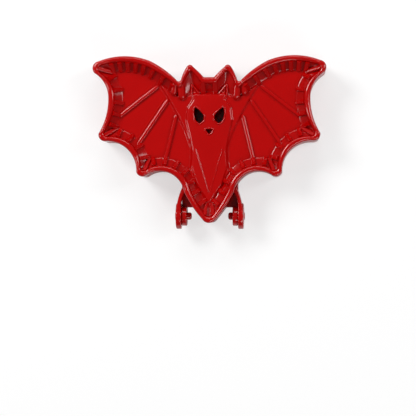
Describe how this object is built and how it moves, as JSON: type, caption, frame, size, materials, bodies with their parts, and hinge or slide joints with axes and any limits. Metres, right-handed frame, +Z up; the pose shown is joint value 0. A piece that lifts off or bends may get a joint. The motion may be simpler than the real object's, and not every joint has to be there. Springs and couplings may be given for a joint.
{
  "type": "hand pie mold",
  "caption": "Bat-shaped hand pie mold: two hinged plastic halves with raised cutting rims, fluted walls and a shared cavity, folded shut.",
  "frame": {"origin": "centre of the bounding box's bottom, on the surface that the closed mold lies on", "axes": "+X across the wings, +Y from the hinge towards the ears, +Z up out of the face half"},
  "size_m": [0.1502, 0.1113, 0.028],
  "materials": {
    "red_plastic": "glossy injection-moulded red plastic"
  },
  "bodies": {
    "lower": {"lower_half": "red_plastic"},
    "upper": {"upper_half": "red_plastic", "hinge_pin_left": "red_plastic", "hinge_pin_right": "red_plastic"}
  },
  "joints": [
    {"name": "hinge", "type": "hinge", "parent": "lower", "child": "upper", "pos_m": [0, -0.04725, 0.014], "axis": [1, 0, 0], "range_deg": [0, 135]}
  ]
}
